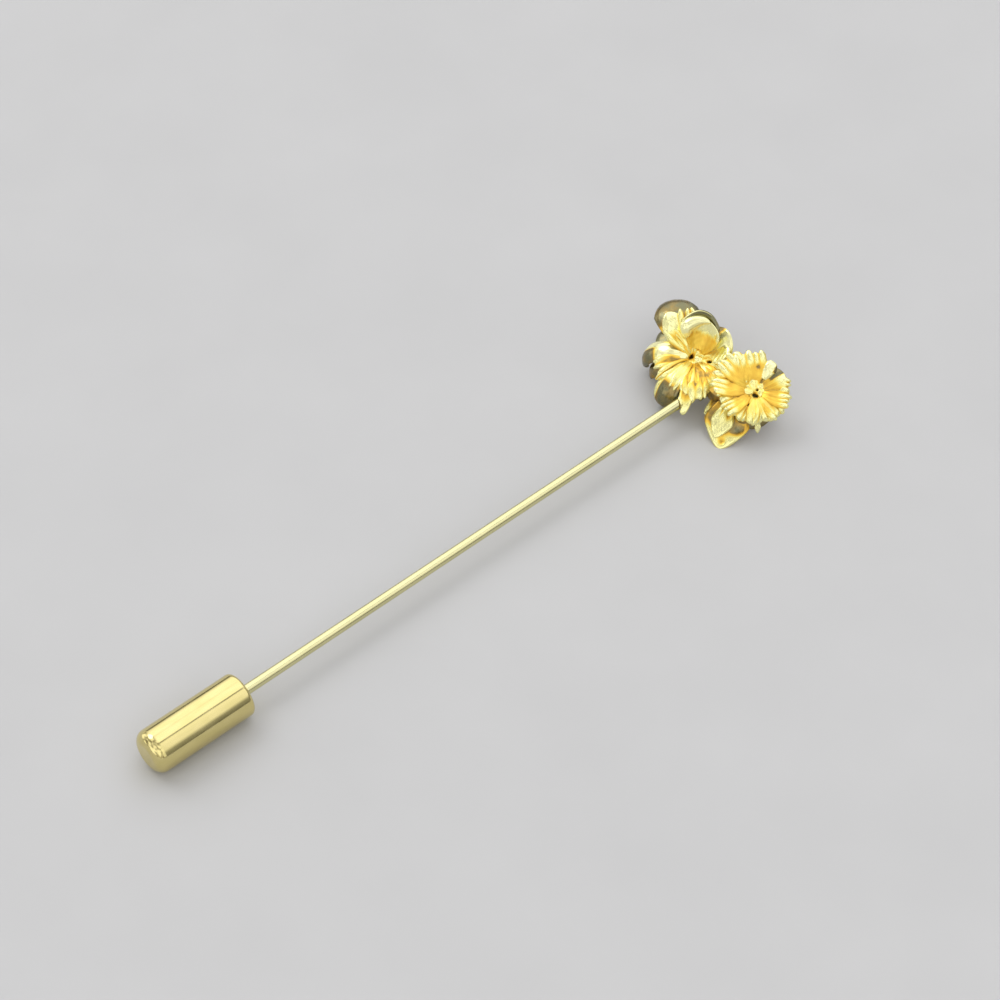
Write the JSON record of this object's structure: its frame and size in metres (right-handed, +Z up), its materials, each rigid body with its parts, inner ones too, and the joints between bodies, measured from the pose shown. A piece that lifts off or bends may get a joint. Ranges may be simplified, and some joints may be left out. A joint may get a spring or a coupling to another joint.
{
  "type": "stick pin",
  "caption": "Stick pin with a cast cluster of ribbed blooms and a leaf at one end of a straight wire, and a round bullet clutch pushed over the point at the other end.",
  "frame": {"origin": "middle of the whole pin's box, on the surface that it lies on", "axes": "+X along the wire from the clutch to the flowers, +Z up from the surface through the faces of the blooms, +Y across the wire towards the bloom with the upright cup"},
  "size_m": [0.0728, 0.018, 0.0079],
  "materials": {
    "wire_gold": "polished pale gold tone with fine drawing lines",
    "flower_gold": "bright cast yellow gold tone, darker in the recesses",
    "clutch_gold": "mirror-polished pale gold tone with small handling marks"
  },
  "bodies": {
    "pin": {"pin_shaft": "wire_gold", "flower_head": "flower_gold"},
    "clutch": {"clutch": "clutch_gold"}
  },
  "joints": [
    {"name": "clutch_slide", "type": "slide", "parent": "pin", "child": "clutch", "axis": [-1, 0, 0], "range_m": [0, 0.03]}
  ]
}
